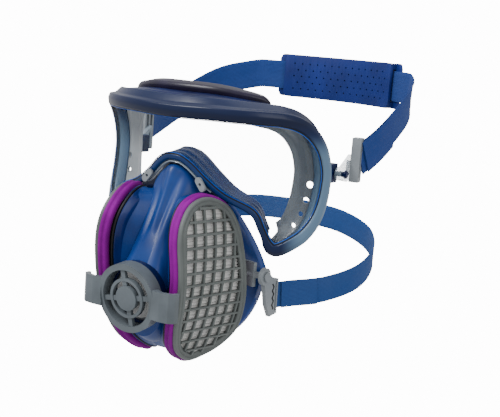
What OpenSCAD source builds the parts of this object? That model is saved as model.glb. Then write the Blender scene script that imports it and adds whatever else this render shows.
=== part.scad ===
// Half-mask respirator with built-in panoramic goggles, two side filters and two head straps.
// Millimetres, +Z up. The wearer's face is on the +Y side, the front of the mask faces -Y.
// The origin is the seal point on the bridge of the wearer's nose.

/* [Goggle] */
// Radius of the wrapped lens in plan
lens_radius = 100; // [96:0.5:104]
// Thickness of the lens
lens_wall = 2; // [1.5:0.1:3]
// How much flatter the lens gets in plan for each millimetre of drop
lens_taper = 0.26; // [0.22:0.01:0.28]
// Width of the frame band around the lens
frame_band = 6; // [5:0.5:8]

/* [Filters] */
// Thickness of the grille over the filter medium
grille_wall = 3; // [2.5:0.1:4]
// Thickness of the coloured seal round each cartridge
seal_wall = 8; // [7:0.5:10]
// Width of one bar of the grille
grille_bar = 1.7; // [1.2:0.1:2.5]
// Radius of the grille's bend from top to bottom
grille_bend = 145; // [130:1:160]

/* [Exhalation valve] */
// Outer radius of the round valve cover
cover_radius = 25; // [23:0.5:27]
// Downward tilt of the valve
valve_tilt = 6; // [0:1:15]

/* [Straps] */
// Width of the head strap
head_strap_width = 25; // [20:1:28]
// Width of the neck strap
neck_strap_width = 20; // [18:1:25]
// Thickness of the webbing
webbing = 1.6; // [1.2:0.1:2]

/* [Hidden] */
$fn = 64;

dark_blue = [0.08, 0.16, 0.35];
blue = [0.11, 0.31, 0.61];
strap_blue = [0.07, 0.30, 0.58];
grey = [0.5, 0.52, 0.53];
pale = [0.75, 0.78, 0.8];
magenta = [0.72, 0, 0.72];
black = [0.05, 0.05, 0.06];
clear = [0.9, 0.94, 0.97, 0.4];

// ---------- curves ----------
function blend4(a, b, c, d, t) =
  0.5 * (2 * b + (c - a) * t + (2 * a - 5 * b + 4 * c - d) * t * t
         + (3 * b - a - 3 * c + d) * t * t * t);
function closed_curve(knots, steps) =
  let (n = len(knots))
  [for (i = [0 : n - 1], s = [0 : steps - 1])
    blend4(knots[(i + n - 1) % n], knots[i], knots[(i + 1) % n], knots[(i + 2) % n], s / steps)];
function open_curve(knots, steps) =
  let (n = len(knots))
  concat([for (i = [0 : n - 2], s = [0 : steps - 1])
    blend4(knots[max(i - 1, 0)], knots[i], knots[i + 1], knots[min(i + 2, n - 1)], s / steps)],
    [knots[n - 1]]);
function mirrored(knots) =
  concat(knots, [for (i = [len(knots) - 2 : -1 : 1]) [-knots[i][0], knots[i][1]]]);
function unit(v) = v / norm(v);

// Solid made of rings of points, each ring joined to the next; the last ring joins
// the first when looped, otherwise both ends are closed by flat faces.
module rings(sets, looped = false, inward = false) {
  n = len(sets[0]);
  m = len(sets);
  last = looped ? m - 1 : m - 2;
  sides = [for (i = [0 : last], j = [0 : n - 1], k = [0, 1])
    let (a = i * n + j, b = i * n + (j + 1) % n,
         c = ((i + 1) % m) * n + (j + 1) % n, d = ((i + 1) % m) * n + j)
    k == 0 ? (inward ? [a, b, c] : [a, c, b]) : (inward ? [a, c, d] : [a, d, c])];
  caps = looped ? [] : [
    inward ? [for (j = [n - 1 : -1 : 0]) j] : [for (j = [0 : n - 1]) j],
    inward ? [for (j = [0 : n - 1]) (m - 1) * n + j]
           : [for (j = [n - 1 : -1 : 0]) (m - 1) * n + j]];
  polyhedron([for (r = sets, p = r) p], concat(sides, caps), convexity = 8);
}

// ---------- lens surface ----------
lens_middle = 65;
lens_top = 28;
side_lean = 0.08;
function lens_swell(a, z) = 1 + (0.05 + 0.0013 * (lens_top - z)) * pow(sin(2 * a), 2);
function lens_point(a, z) = [
  lens_radius * lens_swell(a, z) * sin(a),
  lens_middle + side_lean * (lens_top - z)
    - (lens_radius - lens_taper * (lens_top - z)) * lens_swell(a, z) * cos(a),
  z];
function lens_out(a, z) = unit(cross(lens_point(a + 0.5, z) - lens_point(a - 0.5, z),
                                     lens_point(a, z + 1) - lens_point(a, z - 1)));
rim_knots = mirrored([
  [0, 28.5], [18, 29.2], [30.4, 29.2], [42, 29.2], [48, 28.7], [54, 26.2], [59.6, 20],
  [64, 9], [65.5, -5], [64.2, -17], [61.5, -29], [57.5, -40], [52, -49.8], [46.5, -56.4],
  [40, -62.4], [37.4, -60], [35.4, -50], [32.4, -37], [21.7, -28.3], [14.2, -18.6],
  [8.4, -9.4], [3.8, -4.7], [0, -3.8]]);
rim_steps = 2;
rim = closed_curve(rim_knots, rim_steps);
rim_count = len(rim);
function rim_point(i) = let (q = rim[(i + rim_count) % rim_count]) lens_point(q[0], q[1]);
function rim_normal(i) =
  let (q = rim[(i + rim_count) % rim_count]) lens_out(q[0], q[1]);
function rim_away(i) =
  unit(cross(rim_normal(i), unit(rim_point(i + 1) - rim_point(i - 1))));
// One cross-section of a band that follows the lens edge; each profile entry is
// [distance away from the opening, distance in front of the lens surface].
function rim_section(i, profile, scale_away = 1, scale_deep = 1) =
  let (p = rim_point(i), o = rim_away(i), f = rim_normal(i))
  [for (q = profile) p + q[0] * scale_away * o + q[1] * scale_deep * f];
// How much of the full band is left at the nose arch
function arch_part(i) =
  let (q = rim[(i + rim_count) % rim_count])
  q[1] > 10 ? 0 : max(0, min(1, (q[1] + 66) / 10)) * max(0, min(1, (40 - abs(q[0])) / 4));

// ---------- goggle ----------
// Extra width at the back of the band over the upper corners
function flare(i) =
  let (q = rim[(i + rim_count) % rim_count])
  q[1] < -40 ? 0 : 4 * max(0, min(1, (q[1] + 40) / 45)) * (1 - arch_part(i));
function frame_profile(k, wide) =
  let (w = frame_band * (1 - 0.55 * k), deep = 10 - 4 * k, lip = 3 - k)
  [[-lip, -4.2], [-1.6, -deep], [w - 1.2 + wide, -deep], [w + 0.6 + wide, -deep + 2],
   [w + 0.4, -3], [w, 1], [w * 0.4, 2.6 - k],
   [-lip + 0.6, 2 - 0.8 * k], [-lip, 0.15], [0.5, 0.15], [0.5, -lens_wall - 0.15], [-lip, -lens_wall - 0.15]];
module goggle_frame() {
  color(dark_blue)
    rings([for (i = [0 : rim_count - 1]) rim_section(i, frame_profile(arch_part(i), flare(i)))], looped = true);
}

// Moulded step above the frame, built up behind the lens edge
module brow_step(reach, near, far, rise) {
  rings([for (i = [-reach : reach])
    let (t = max(0.3, sqrt(max(0, 1 - pow(i / (reach + 0.4), 10)))))
    rim_section(i, [[1.9, -far], [rise * t - 1.5, -far], [rise * t, -far + 1.5],
                    [rise * t, -near - 2], [rise * t - 2, -near], [1.9, -near]])]);
}
module brow_lip() {
  color(dark_blue) brow_step(9, 10.1, 19.9, 9.4);
}
module brow_ridge() {
  color([0.1, 0.11, 0.16]) brow_step(7, 20, 30, 13.8);
}

// Heights of the lens edge above and below at one angle
edge_up = [for (i = [0 : 16]) [rim[i][0], rim[i][1]]];
edge_down = [for (i = [44 : -1 : 16]) [rim[i][0], rim[i][1]]];
lens_reach = 65;
lens_columns = 54;
module lens() {
  color(clear)
    rings([for (k = [0 : lens_columns])
      let (a = -lens_reach + 2 * lens_reach * k / lens_columns,
           up = lookup(abs(a), edge_up) - 0.1, down = lookup(abs(a), edge_down) + 0.1,
           top_back = -lens_wall * lens_out(a, up), low_back = -lens_wall * lens_out(a, down))
      [lens_point(a, up), lens_point(a, down), lens_point(a, down) + low_back,
       lens_point(a, up) + top_back]]);
}

// Distance from the lens back to the face at one angle
function face_gap(a) = 34 - 11 * abs(a) / 65;
// Width of the skirt's inward lip at one angle
function face_reach(a) = 14 - 6 * abs(a) / 65;
skirt_end = 30;
module face_skirt() {
  color(grey)
    difference() {
      rings([for (i = [-skirt_end : skirt_end])
        let (a = rim[(i + rim_count) % rim_count][0], d = face_gap(a), w = face_reach(a))
        rim_section(i, [[-2.6, -0.6 * d - 2], [-0.54 * w, -0.9 * d - 1.6], [-w, -d - 1.4], [-w, -d],
                        [-0.6 * w, -0.9 * d], [-4.2, -0.6 * d], [-1.4, -10.1], [1.4, -10.1]])],
        inward = true);
      for (s = [-1, 1], k = [0 : 3])
        let (i = s > 0 ? 18 + 2 * k : rim_count - 18 - 2 * k,
             c = rim_section(i, [[-3, -11.5 - k]])[0])
          translate(c) rotate([90, 0, s * 18]) translate([0, 0, -12])
            cylinder(r = 2.6 - 0.3 * k, h = 24, $fn = 12);
    }
}
module nose_cover() {
  color([0.2, 0.38, 0.66])
    rings([for (i = [skirt_end + 1 : rim_count - skirt_end - 1])
      rim_section(i, [[2.4, -17.5], [4.6, -22], [9.4, -28], [6.6, -29.4], [1.8, -23],
                      [-0.4, -17.5], [-1.4, -6.2], [1.4, -6.2]])], inward = true);
}
module nose_trim() {
  color(clear)
    rings([for (i = [37 : rim_count - 37])
      rim_section(i, [[3.2, -5], [5, -5], [5, 0.6], [3.8, 1.8], [3.2, 0.9]])]);
}
module nose_clip(s) {
  i = s > 0 ? 38 : rim_count - 38;
  color(pale)
    translate(rim_point(i) + 3.9 * rim_normal(i) + 2 * rim_away(i))
      rotate([90, s * 52, 0])
        difference() {
          linear_extrude(2)
            union() {
              translate([-3, 0]) circle(r = 2.6);
              translate([3, 0]) circle(r = 2.6);
              translate([-3, -2.6]) square([6, 5.2]);
            }
          translate([0, 0, -1]) cylinder(r = 1.1, h = 4);
        }
}
module nose_clip_right() {
  nose_clip(1);
}
module nose_clip_left() {
  nose_clip(-1);
}

// ---------- half mask ----------
// One closed ring: half width, height of the top and bottom, depth at the top, sides and
// bottom, height of the widest place, and how far the top is pinched to suit the nose.
function mask_ring(r, w = 0) =
  let (a = r[0] - w, up = r[1] - w, down = r[2] + w, mid = r[6], pinch = r[7])
  [for (k = [0 : 47])
    let (t = k * 7.5, s = sin(t), c = cos(t))
    [a * c * (s > 0 ? 1 - pinch * s : 1),
     (s > 0 ? r[4] + (r[3] - r[4]) * s * s : r[4] + (r[5] - r[4]) * s * s) + w,
     s > 0 ? mid + (up - mid) * s : mid + (mid - down) * s]];
valve_at = [0, -69.5, -101.6];
module at_valve() {
  translate(valve_at) rotate([90 + valve_tilt, 0, 0]) children();
}
function valve_ring(r, z) = [for (k = [0 : 47])
  let (t = k * 7.5, u = r * sin(t))
  [r * cos(t),
   valve_at[1] + u * cos(90 + valve_tilt) - z * sin(90 + valve_tilt),
   valve_at[2] + u * sin(90 + valve_tilt) + z * cos(90 + valve_tilt)]];
mask_shape = [
  [54, -12, -150, -4, 20, 16, -84, 0.62],
  [48, -10, -149, -12, 14, 8, -84, 0.5],
  [36, -10, -146, -21, 2, -8, -86, 0.24],
  [30, -13, -143, -26, -18, -24, -90, 0.2],
  [24, -34, -139, -34, -40, -40, -94, 0.36],
  [21, -58, -133, -46, -51, -50, -98, 0.25]];
module facepiece() {
  color(blue)
    difference() {
      rings(concat([for (r = mask_shape) mask_ring(r)],
                   [valve_ring(21.5, -14), valve_ring(19.4, -14)],
                   [for (i = [len(mask_shape) - 1 : -1 : 0]) mask_ring(mask_shape[i], 2.2)]),
            looped = true, inward = false);
      for (s = [-1, 1])
        at_filter(s) translate([port_u, port_v, -44]) cylinder(r = 17.5, h = 34);
    }
}
module face_lip() {
  color([0.16, 0.36, 0.66])
    rings([mask_ring([54, -12, -150, -3.9, 20.1, 16.1, -84, 0.62]),
           mask_ring([55, -10, -151, 1, 26, 21, -84, 0.62]),
           mask_ring([50, -13, -146, 3, 29, 24, -84, 0.62]),
           mask_ring([42, -20, -136, 1, 25, 21, -84, 0.6]),
           mask_ring([43, -20, -137, -0.6, 23.4, 19.4, -84, 0.6]),
           mask_ring([50, -14, -145, 1.2, 26.8, 22, -84, 0.62]),
           mask_ring([52, -13.6, -148, -3.9, 20.1, 16.1, -84, 0.62])],
          looped = true, inward = true);
}

// ---------- filters ----------
filter_at = [39, -61, -75];
filter_turn = 75;
port_u = 33;
port_v = -12;
module at_filter(s) {
  if (s > 0)
    translate(filter_at) rotate([90, 0, filter_turn]) children();
  else
    mirror([1, 0, 0]) translate(filter_at) rotate([90, 0, filter_turn]) children();
}
cartridge_knots = [
  [28.5, 47.5], [45, 41.4], [54, 27.7], [59, 8.7], [63.7, -12], [67.3, -34.5], [67, -55],
  [58, -67.4], [46, -74.3], [31.5, -76.8], [14.4, -65], [6.3, -48], [3.6, -31], [1.4, -8.5],
  [-0.9, 16], [2.4, 31.4], [12.6, 43.3]];
cartridge = closed_curve(cartridge_knots, 3);
cartridge_count = len(cartridge);
function edge_way(i) =
  let (n = cartridge_count,
       d = unit(cartridge[(i + 1) % n] - cartridge[(i + n - 1) % n]))
  [-d[1], d[0]];
function inset_edge(w) = [for (i = [0 : cartridge_count - 1]) cartridge[i] - w * edge_way(i)];
function bent_depth(v, depth) = sqrt(pow(grille_bend + depth, 2) - v * v) - grille_bend;
// Slice of the bent cartridge between two depths below its outer face
module bent_slice(near, far) {
  intersection() {
    translate([-20, 0, -grille_bend]) rotate([0, 90, 0])
      difference() {
        cylinder(r = grille_bend - near, h = 110, $fn = 180);
        translate([0, 0, -1]) cylinder(r = grille_bend - far, h = 112, $fn = 180);
      }
    translate([0, 0, -60]) linear_extrude(70) children();
  }
}
cell = 8.9;
module grille() {
  color(grey)
    difference() {
      bent_slice(0, grille_wall) polygon(cartridge);
      intersection() {
        translate([0, 0, -70]) linear_extrude(90) polygon(inset_edge(5.6));
        for (i = [-4 : 3], j = [-8 : 6])
          translate([32 + i * cell + grille_bar / 2, -13 + j * cell + grille_bar / 2, -50])
            cube([cell - grille_bar, cell - grille_bar, 60]);
      }
    }
}
// Band round the cartridge; each profile entry is [outwards, depth below the outer face]
module edge_band(profile) {
  rings([for (i = [cartridge_count - 1 : -1 : 0])
    let (q = cartridge[i], o = edge_way(i))
    [for (p = profile) [q[0] + p[0] * o[0], q[1] + p[0] * o[1], bent_depth(q[1], p[1])]]],
    looped = true, inward = true);
}
seal_end = grille_wall + seal_wall;
module filter_seal() {
  color(magenta)
    edge_band([[-3, -seal_end], [0.5, -seal_end], [1.7, -seal_end + 1.2], [1.7, -seal_end + 2.6],
               [0.7, -seal_end + 4], [1.7, -seal_end + 5.4], [1.7, -seal_end + 6.8],
               [0.6, -grille_wall - 0.05], [-3, -grille_wall - 0.05]]);
}
module filter_case() {
  color(black)
    difference() {
      bent_slice(grille_wall + 0.1, seal_end + 1.5) polygon(inset_edge(3.2));
      translate([0, 0, 0.01]) bent_slice(grille_wall - 1, seal_end) polygon(inset_edge(5));
      translate([port_u, port_v, -44]) cylinder(r = 15, h = 60);
    }
}
module filter_medium() {
  color([0.85, 0.85, 0.82])
    bent_slice(grille_wall + 0.3, seal_end - 0.1) polygon(inset_edge(5.3));
}
module port_gasket() {
  color(black)
    edge_band([[-5, -seal_end - 3.4], [-1, -seal_end - 3.4], [-0.6, -seal_end - 2.5],
               [-1, -seal_end - 1.65], [-5, -seal_end - 1.65]]);
}
module port_collar() {
  color([0.16, 0.38, 0.7])
    union() {
      difference() {
        bent_slice(18.6, 20.4) polygon(inset_edge(9));
        translate([port_u, port_v, -44]) cylinder(r = 17.5, h = 60);
      }
      edge_band([[-14, -22], [-6, -19.5], [-1.2, -seal_end - 3.5], [-4.5, -seal_end - 3.5],
                 [-8.5, -17.6], [-14, -19.6]]);
    }
}
module inhale_seat() {
  color(pale)
    translate([port_u, port_v, -21.5])
      difference() {
        cylinder(r = 17, h = 2);
        for (k = [0 : 3])
          rotate([0, 0, 45 + 90 * k])
            intersection() {
              difference() {
                translate([0, 0, -1]) cylinder(r = 13, h = 4);
                translate([0, 0, -1]) cylinder(r = 3.5, h = 4);
              }
              translate([0.8, 0.8, -1]) cube([20, 20, 4]);
            }
      }
}
module inhale_flap() {
  color([0.9, 0.9, 0.88])
    translate([port_u, port_v, -22.8]) cylinder(r = 14, h = 1);
}
module grille_left() { at_filter(-1) grille(); }
module grille_right() { at_filter(1) grille(); }
module filter_seal_left() { at_filter(-1) filter_seal(); }
module filter_seal_right() { at_filter(1) filter_seal(); }
module filter_case_left() { at_filter(-1) filter_case(); }
module filter_case_right() { at_filter(1) filter_case(); }
module filter_medium_left() { at_filter(-1) filter_medium(); }
module filter_medium_right() { at_filter(1) filter_medium(); }
module port_gasket_left() { at_filter(-1) port_gasket(); }
module port_gasket_right() { at_filter(1) port_gasket(); }
module port_collar_left() { at_filter(-1) port_collar(); }
module port_collar_right() { at_filter(1) port_collar(); }
module inhale_seat_left() { at_filter(-1) inhale_seat(); }
module inhale_seat_right() { at_filter(1) inhale_seat(); }
module inhale_flap_left() { at_filter(-1) inhale_flap(); }
module inhale_flap_right() { at_filter(1) inhale_flap(); }

// ---------- exhalation valve ----------
module valve_housing() {
  color(dark_blue)
    at_valve()
      translate([0, 0, -16.5])
        difference() {
          cylinder(r = 24, h = 6);
          translate([0, 0, -1]) cylinder(r = 19.2, h = 8);
        }
}
module exhale_seat() {
  color(pale)
    at_valve()
      translate([0, 0, -15.5])
        difference() {
          cylinder(r = 19.2, h = 2);
          for (k = [0 : 3])
            rotate([0, 0, 90 * k])
              intersection() {
                difference() {
                  translate([0, 0, -1]) cylinder(r = 16, h = 4);
                  translate([0, 0, -1]) cylinder(r = 4, h = 4);
                }
                translate([0.9, 0.9, -1]) cube([20, 20, 4]);
              }
        }
}
module exhale_flap() {
  color([0.85, 0.87, 0.88])
    at_valve() translate([0, 0, -13.3]) cylinder(r = 17.6, h = 1.2);
}
arm_low = -111.4;
arm_tall = 20.6;
module cover_arm(s) {
  mirror([s > 0 ? 0 : 1, 0, 0])
    translate([0, 0, arm_low])
      linear_extrude(arm_tall)
        polygon([[22, -70], [30, -70.6], [37, -69.6], [40.8, -66.6], [41, -62.6], [38.6, -62.6],
                 [37.6, -65.6], [31, -67.6], [22, -63.6]]);
}
module valve_cover() {
  color(grey)
    union() {
      at_valve() {
        translate([0, 0, -10])
          difference() {
            cylinder(r = cover_radius, h = 10);
            translate([0, 0, -1]) cylinder(r = cover_radius - 4.4, h = 12);
          }
        translate([0, 0, -4])
          difference() {
            cylinder(r = 14.6, h = 3.4);
            translate([0, 0, -1]) cylinder(r = 12.4, h = 6);
          }
        translate([0, 0, -4]) cylinder(r = 9, h = 4);
        for (k = [0 : 3])
          rotate([0, 0, 10 + 90 * k])
            translate([8, -1.8, -3.8]) cube([14.2, 3.6, 2.7]);
      }
      difference() {
        for (s = [-1, 1]) cover_arm(s);
        at_valve() translate([0, 0, -20]) cylinder(r = cover_radius - 2.2, h = 40);
      }
    }
}

// ---------- neck strap ----------
peg = [57, 9, -86];
module neck_bracket(s) {
  mirror([s > 0 ? 0 : 1, 0, 0])
    color(grey)
      union() {
        translate(filter_at) rotate([90, 0, filter_turn]) {
          translate([69.4, -20, -19]) cube([3, 18, 18]);
          translate([52, -20, -19]) cube([20.4, 18, 2.6]);
        }
        translate([peg[0] - 7, peg[1], peg[2]]) rotate([0, 90, 0]) cylinder(r = 2.4, h = 17);
        translate(peg + [9.4, 0, 0]) rotate([0, 90, 0]) cylinder(r = 3.6, h = 1.4);
      }
}
module neck_bracket_left() { neck_bracket(-1); }
module neck_bracket_right() { neck_bracket(1); }
module neck_hook(s) {
  mirror([s > 0 ? 0 : 1, 0, 0])
    color(pale)
      translate([peg[0] + 5.6, peg[1], peg[2]])
        rotate([90, 0, 90])
          difference() {
            union() {
              cylinder(r = 6.4, h = 3.2);
              linear_extrude(3.2)
                polygon([[3, 3], [10, -2], [18, -4], [19, -31], [9, -32], [3, -22], [-2, -3]]);
            }
            translate([0, 0, -1])
              linear_extrude(6)
                polygon([[14.2, -5.4], [16, -5.4], [17, -28.4], [15.2, -28.4]]);
            translate([0, 0, -1]) cylinder(r = 2.45, h = 6);
          }
}
module neck_hook_left() { neck_hook(-1); }
module neck_hook_right() { neck_hook(1); }

// ---------- webbing ----------
// Sections of a flat strap along a path of points, standing upright and leaning with the path
function strap_sections(path, width, thick) =
  let (n = len(path))
  [for (i = [0 : n - 1])
    let (d = unit(path[min(i + 1, n - 1)] - path[max(i - 1, 0)]),
         o = unit(cross(d, [0, 0, 1])),
         u = cross(o, d))
    [path[i] + o * thick / 2 + u * width / 2, path[i] - o * thick / 2 + u * width / 2,
     path[i] - o * thick / 2 - u * width / 2, path[i] + o * thick / 2 - u * width / 2]];
function both_sides(half) = concat([for (i = [0 : len(half) - 2]) half[i]],
  [for (i = [len(half) - 1 : -1 : 0]) [-half[i][0], half[i][1], half[i][2]]]);
neck_half = open_curve([
  [64, 26, -103], [71, 37, -102], [88, 60, -99.5], [99, 92, -93], [96.5, 122, -83], [79, 147, -73],
  [44, 163, -66], [0, 168, -64]], 4);
module neck_strap() {
  color(strap_blue) rings(strap_sections(both_sides(neck_half), neck_strap_width, webbing), inward = true);
}
rear_bend = 150;
rear_centre = 43;
head_level = 54;
// The left side falls away from the pad sooner than the right, as a strap hangs off a pad
// that has been slid along it.
head_right = concat(
  open_curve([[102.4, 69, 1], [106, 92, 13], [107.5, 118, 28], [107, 138, 40], [102.5, 151, 48],
              [rear_bend * sin(41), rear_centre + rear_bend * cos(41), 52.5]], 4),
  [for (a = [39 : -4 : 3]) [rear_bend * sin(a), rear_centre + rear_bend * cos(a), head_level]]);
head_left = concat(
  [for (a = [-1 : -4 : -21]) [rear_bend * sin(a), rear_centre + rear_bend * cos(a), head_level]],
  open_curve([[rear_bend * sin(-25), rear_centre + rear_bend * cos(-25), 53], [-84, 162, 46],
              [-98, 142, 34], [-104.5, 114, 20], [-105.5, 90, 8.5], [-102.4, 69, 1]], 4));
head_path = concat(head_right, head_left);
module head_strap() {
  color(strap_blue) rings(strap_sections(head_path, head_strap_width, webbing), inward = true);
}
// Doubled end of the webbing, lying on the outside of the strap behind its buckle
function set_out(path, gap) =
  let (n = len(path))
  [for (i = [0 : n - 1])
    let (d = unit(path[min(i + 1, n - 1)] - path[max(i - 1, 0)]))
    path[i] + gap * unit(cross(d, [0, 0, 1]))];
module strap_tail(piece, width) {
  color(strap_blue)
    rings(strap_sections(set_out(piece, webbing + 0.15), width, webbing), inward = true);
}
head_last = len(head_path) - 1;
module head_tail_right() {
  strap_tail([for (i = [1 : 6]) head_path[i]], head_strap_width);
}
module head_tail_left() {
  strap_tail([for (i = [head_last - 6 : head_last - 1]) head_path[i]], head_strap_width);
}
neck_path = both_sides(neck_half);
neck_last = len(neck_path) - 1;
module neck_tail_right() {
  strap_tail([for (i = [2 : 7]) neck_path[i]], neck_strap_width);
}
module neck_tail_left() {
  strap_tail([for (i = [neck_last - 7 : neck_last - 2]) neck_path[i]], neck_strap_width);
}

// Curved plate hanging round the strap's arc, between two angles measured from straight back
module arc_plate(near, far, low, high, from, to) {
  translate([0, rear_centre, 0])
    rotate([0, 0, 90 - to])
      rotate_extrude(angle = to - from, $fn = 180)
        translate([near, low]) square([far - near, high - low]);
}
pad_from = -17;
pad_to = 33.5;
pad_half = 19;
module head_pad() {
  color(blue)
    difference() {
      union() {
        arc_plate(145.6, 147.9, head_level - pad_half, head_level + pad_half, pad_from + 2.4, pad_to - 2.4);
        arc_plate(151.4, 153.6, head_level - pad_half, head_level + pad_half, pad_from, pad_from + 4.4);
        arc_plate(151.4, 153.6, head_level - pad_half, head_level + pad_half, pad_to - 4.4, pad_to);
        for (a = [pad_from + 2.7, pad_to - 4.9], z = [-pad_half + 0.3, 13.4])
          arc_plate(146, 153.2, head_level + z, head_level + z + pad_half - 13.7, a, a + 2.2);
      }
      translate([0, rear_centre, head_level])
        for (a = [pad_from + 7 : 3 : pad_to - 6], z = [-9, -3, 3, 9])
          rotate([0, 0, -a]) rotate([-90, 0, 0]) translate([0, z, 140]) cylinder(r = 0.8, h = 20, $fn = 8);
    }
}

// ---------- goggle clips ----------
pivot = [94.5, 52.5, -9];
module clip_mount(s) {
  mirror([s > 0 ? 0 : 1, 0, 0])
    color(dark_blue)
      union() {
        translate([0, 0, -16])
          linear_extrude(14)
            polygon([[85, 31], [92, 31], [91.6, 40], [91.6, 55.2], [86, 55.2], [85.6, 40]]);
        translate([89, pivot[1], pivot[2]]) rotate([0, 90, 0]) cylinder(r = 2, h = 12.4);
        translate([99.4, pivot[1], pivot[2]]) rotate([0, 90, 0]) cylinder(r = 3, h = 1.4);
      }
}
module clip_mount_left() { clip_mount(-1); }
module clip_mount_right() { clip_mount(1); }
module goggle_clip(s) {
  mirror([s > 0 ? 0 : 1, 0, 0])
    color(clear)
      translate([93.4, pivot[1], pivot[2]])
        rotate([90, 0, 90])
          difference() {
            union() {
              cylinder(r = 5, h = 4);
              linear_extrude(4)
                polygon([[-1, 3.4], [6, 8], [14.6, 13.6], [14.6, -3.4], [8, -6.4], [0, -3.6]]);
            }
            translate([0, 0, -1])
              linear_extrude(6)
                polygon([[10.6, 8], [12.4, 9.2], [12.4, -0.4], [10.6, -1.2]]);
            translate([0, 0, -1]) cylinder(r = 2.05, h = 6);
          }
}
module goggle_clip_left() { goggle_clip(-1); }
module goggle_clip_right() { goggle_clip(1); }
module head_buckle(s) {
  mirror([s > 0 ? 0 : 1, 0, 0])
    color(pale)
      translate([99.6, 67.8, 1])
        rotate([0, 0, 12])
          difference() {
            translate([-3, -4.6, -16.5]) cube([7, 9.2, 33]);
            for (y = [-2.9, 0.9])
              translate([-6, y, -13]) cube([20, 2, 26]);
          }
}
module head_buckle_left() { head_buckle(-1); }
module head_buckle_right() { head_buckle(1); }

goggle_frame();
brow_ridge();
brow_lip();
lens();
face_skirt();
nose_cover();
nose_trim();
nose_clip_left();
nose_clip_right();
facepiece();
face_lip();
port_collar_left();
port_collar_right();
port_gasket_left();
port_gasket_right();
inhale_seat_left();
inhale_seat_right();
inhale_flap_left();
inhale_flap_right();
valve_housing();
exhale_seat();
exhale_flap();
valve_cover();
grille_left();
grille_right();
filter_seal_left();
filter_seal_right();
filter_case_left();
filter_case_right();
filter_medium_left();
filter_medium_right();
neck_bracket_left();
neck_bracket_right();
clip_mount_left();
clip_mount_right();
goggle_clip_left();
goggle_clip_right();
head_buckle_left();
head_buckle_right();
head_strap();
head_tail_left();
head_tail_right();
head_pad();
neck_hook_left();
neck_hook_right();
neck_strap();
neck_tail_left();
neck_tail_right();
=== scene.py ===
"""Detailed visual model of a half-mask respirator with goggles, in metres, in the CAD frame."""
import math

import bmesh
import bpy
import numpy as np
from mathutils import Matrix, Vector
from mathutils.bvhtree import BVHTree


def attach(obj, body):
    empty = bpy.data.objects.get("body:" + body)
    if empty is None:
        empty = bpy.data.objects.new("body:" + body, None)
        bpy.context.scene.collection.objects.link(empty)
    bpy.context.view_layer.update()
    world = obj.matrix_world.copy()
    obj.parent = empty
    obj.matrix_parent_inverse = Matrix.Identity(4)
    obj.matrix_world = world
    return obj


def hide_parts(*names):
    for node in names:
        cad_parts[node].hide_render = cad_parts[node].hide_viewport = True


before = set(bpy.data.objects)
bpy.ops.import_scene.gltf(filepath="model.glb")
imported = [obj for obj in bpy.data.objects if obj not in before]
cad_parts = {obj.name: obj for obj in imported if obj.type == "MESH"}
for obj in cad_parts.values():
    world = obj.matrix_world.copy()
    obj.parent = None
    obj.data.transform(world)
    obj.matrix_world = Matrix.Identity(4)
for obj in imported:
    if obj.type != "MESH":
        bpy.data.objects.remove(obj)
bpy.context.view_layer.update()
MM = 0.001


# ---------- colours and materials ----------
TONE = 0.62


def linear(hexa):
    """Six hexadecimal digits as linear numbers, darkened to suit the bright white studio."""
    parts = [int(hexa[i:i + 2], 16) / 255 for i in (0, 2, 4)]
    return [TONE * (c / 12.92 if c <= 0.04045 else ((c + 0.055) / 1.055) ** 2.4) for c in parts] + [1]


def node(tree, kind, **settings):
    made = tree.nodes.new(kind)
    for key, value in settings.items():
        if key.startswith("in_"):
            made.inputs[key[3:].replace("_", " ")].default_value = value
        else:
            setattr(made, key, value)
    return made


def mix_colour(tree, amount, first, second):
    """Mix node whose factor is a socket; each colour is a socket or a list of numbers."""
    made = node(tree, "ShaderNodeMix", data_type="RGBA")
    tree.links.new(amount, made.inputs[0])
    for place, value in ((6, first), (7, second)):
        if isinstance(value, list):
            made.inputs[place].default_value = value
        else:
            tree.links.new(value, made.inputs[place])
    return made.outputs[2]


def ramp(tree, source, stops):
    made = node(tree, "ShaderNodeValToRGB")
    tree.links.new(source, made.inputs[0])
    points = made.color_ramp.elements
    while len(points) < len(stops):
        points.new(0.5)
    for point, (place, colour) in zip(points, stops):
        point.position = place
        point.color = colour
    return made.outputs[0]


def start_material(name):
    made = bpy.data.materials.new(name)
    made.use_nodes = True
    tree = made.node_tree
    shader = tree.nodes["Principled BSDF"]
    where = node(tree, "ShaderNodeTexCoord")
    return made, tree, shader, where


def roughen(tree, shader, where, rough, spread, grain, depth, patches=40.0):
    """Patchy roughness and a fine grain bump, both from noise in the object's own space."""
    broad = node(tree, "ShaderNodeTexNoise", in_Scale=patches, in_Detail=6.0)
    tree.links.new(where.outputs["Object"], broad.inputs["Vector"])
    span = node(tree, "ShaderNodeMapRange")
    tree.links.new(broad.outputs["Fac"], span.inputs["Value"])
    span.inputs["To Min"].default_value = max(0.02, rough - spread)
    span.inputs["To Max"].default_value = min(1, rough + spread)
    tree.links.new(span.outputs["Result"], shader.inputs["Roughness"])
    fine = node(tree, "ShaderNodeTexNoise", in_Scale=grain, in_Detail=4.0)
    tree.links.new(where.outputs["Object"], fine.inputs["Vector"])
    bump = node(tree, "ShaderNodeBump", in_Strength=0.5, in_Distance=depth)
    tree.links.new(fine.outputs["Fac"], bump.inputs["Height"])
    tree.links.new(bump.outputs["Normal"], shader.inputs["Normal"])
    return broad


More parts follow.
